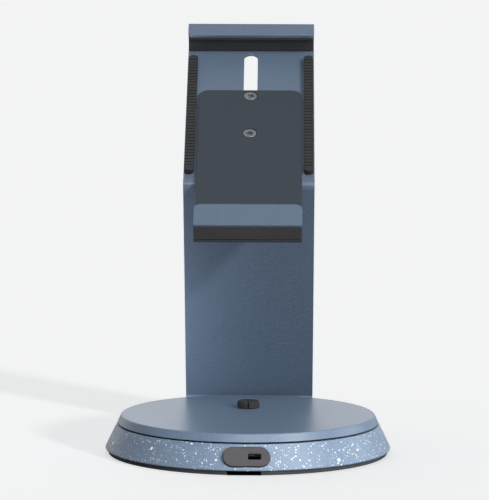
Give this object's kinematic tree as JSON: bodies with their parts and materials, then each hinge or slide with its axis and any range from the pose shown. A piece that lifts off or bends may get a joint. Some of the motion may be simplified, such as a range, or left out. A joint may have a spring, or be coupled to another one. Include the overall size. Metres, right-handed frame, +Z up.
{
  "type": "tablet stand",
  "caption": "Desk stand with a heavy round swivel base, a flat forward-leaning mast and a head that grips a tablet between a top hook and a sliding jaw.",
  "frame": {"origin": "where the swivel axis meets the desk, on the underside of the rubber mat", "axes": "+Z up along the swivel axis; the screen faces -Y; +X to the viewer's right"},
  "size_m": [0.1622, 0.2069, 0.2377],
  "materials": {
    "blue_paint": "satin grey-blue powder coat with a fine texture",
    "speckled_paint": "matt grey-blue with irregular white specks",
    "dark_paint": "satin charcoal powder coat with a fine texture",
    "dark_plastic": "matt dark grey, finely grained",
    "lock_metal": "bead-blasted taupe grey",
    "rubber": "matt black",
    "steel": "zinc-plated",
    "nylon": "natural, matt"
  },
  "bodies": {
    "base": {"non_slip_mat": "rubber", "base_plate": "steel", "ballast_weight": "steel", "ring_housing": "speckled_paint", "lock_badge": "lock_metal", "lock_backing_plate": "steel", "lock_screw_left": "steel", "lock_screw_right": "steel", "base_screw_1": "steel", "base_screw_2": "steel", "base_screw_3": "steel", "base_screw_4": "steel", "bearing_washer": "nylon", "friction_washer": "steel", "swivel_stop_pin": "steel"},
    "swivel": {"mast_plate": "blue_paint", "pivot_spindle": "steel", "spindle_screw_1": "steel", "spindle_screw_2": "steel", "spindle_screw_3": "steel", "spindle_screw_4": "steel", "pivot_nut": "steel", "top_cap": "blue_paint", "cap_screw_1": "steel", "cap_screw_2": "steel", "cap_screw_3": "steel", "cable_grommet": "rubber", "hook_pad": "dark_plastic", "back_pad_left": "rubber", "back_pad_right": "rubber"},
    "jaw": {"jaw_slide": "dark_paint", "jaw_block": "dark_plastic", "jaw_front_plate": "blue_paint", "jaw_pad": "rubber", "jaw_screw_left": "steel", "jaw_screw_right": "steel", "guide_screw_lower": "steel", "guide_screw_upper": "steel", "guide_bush_lower": "nylon", "guide_bush_upper": "nylon", "guide_washer_lower": "steel", "guide_washer_upper": "steel", "guide_nut_lower": "steel", "guide_nut_upper": "steel"}
  },
  "joints": [
    {"name": "base_swivel", "type": "hinge", "parent": "base", "child": "swivel", "pos_m": [0, 0, 0.0175], "axis": [0, 0, 1], "range_deg": [-165, 165]},
    {"name": "jaw_slide_travel", "type": "slide", "parent": "swivel", "child": "jaw", "axis": [0, -0.866, -0.5], "range_m": [-0.0435, 0.0365]}
  ]
}
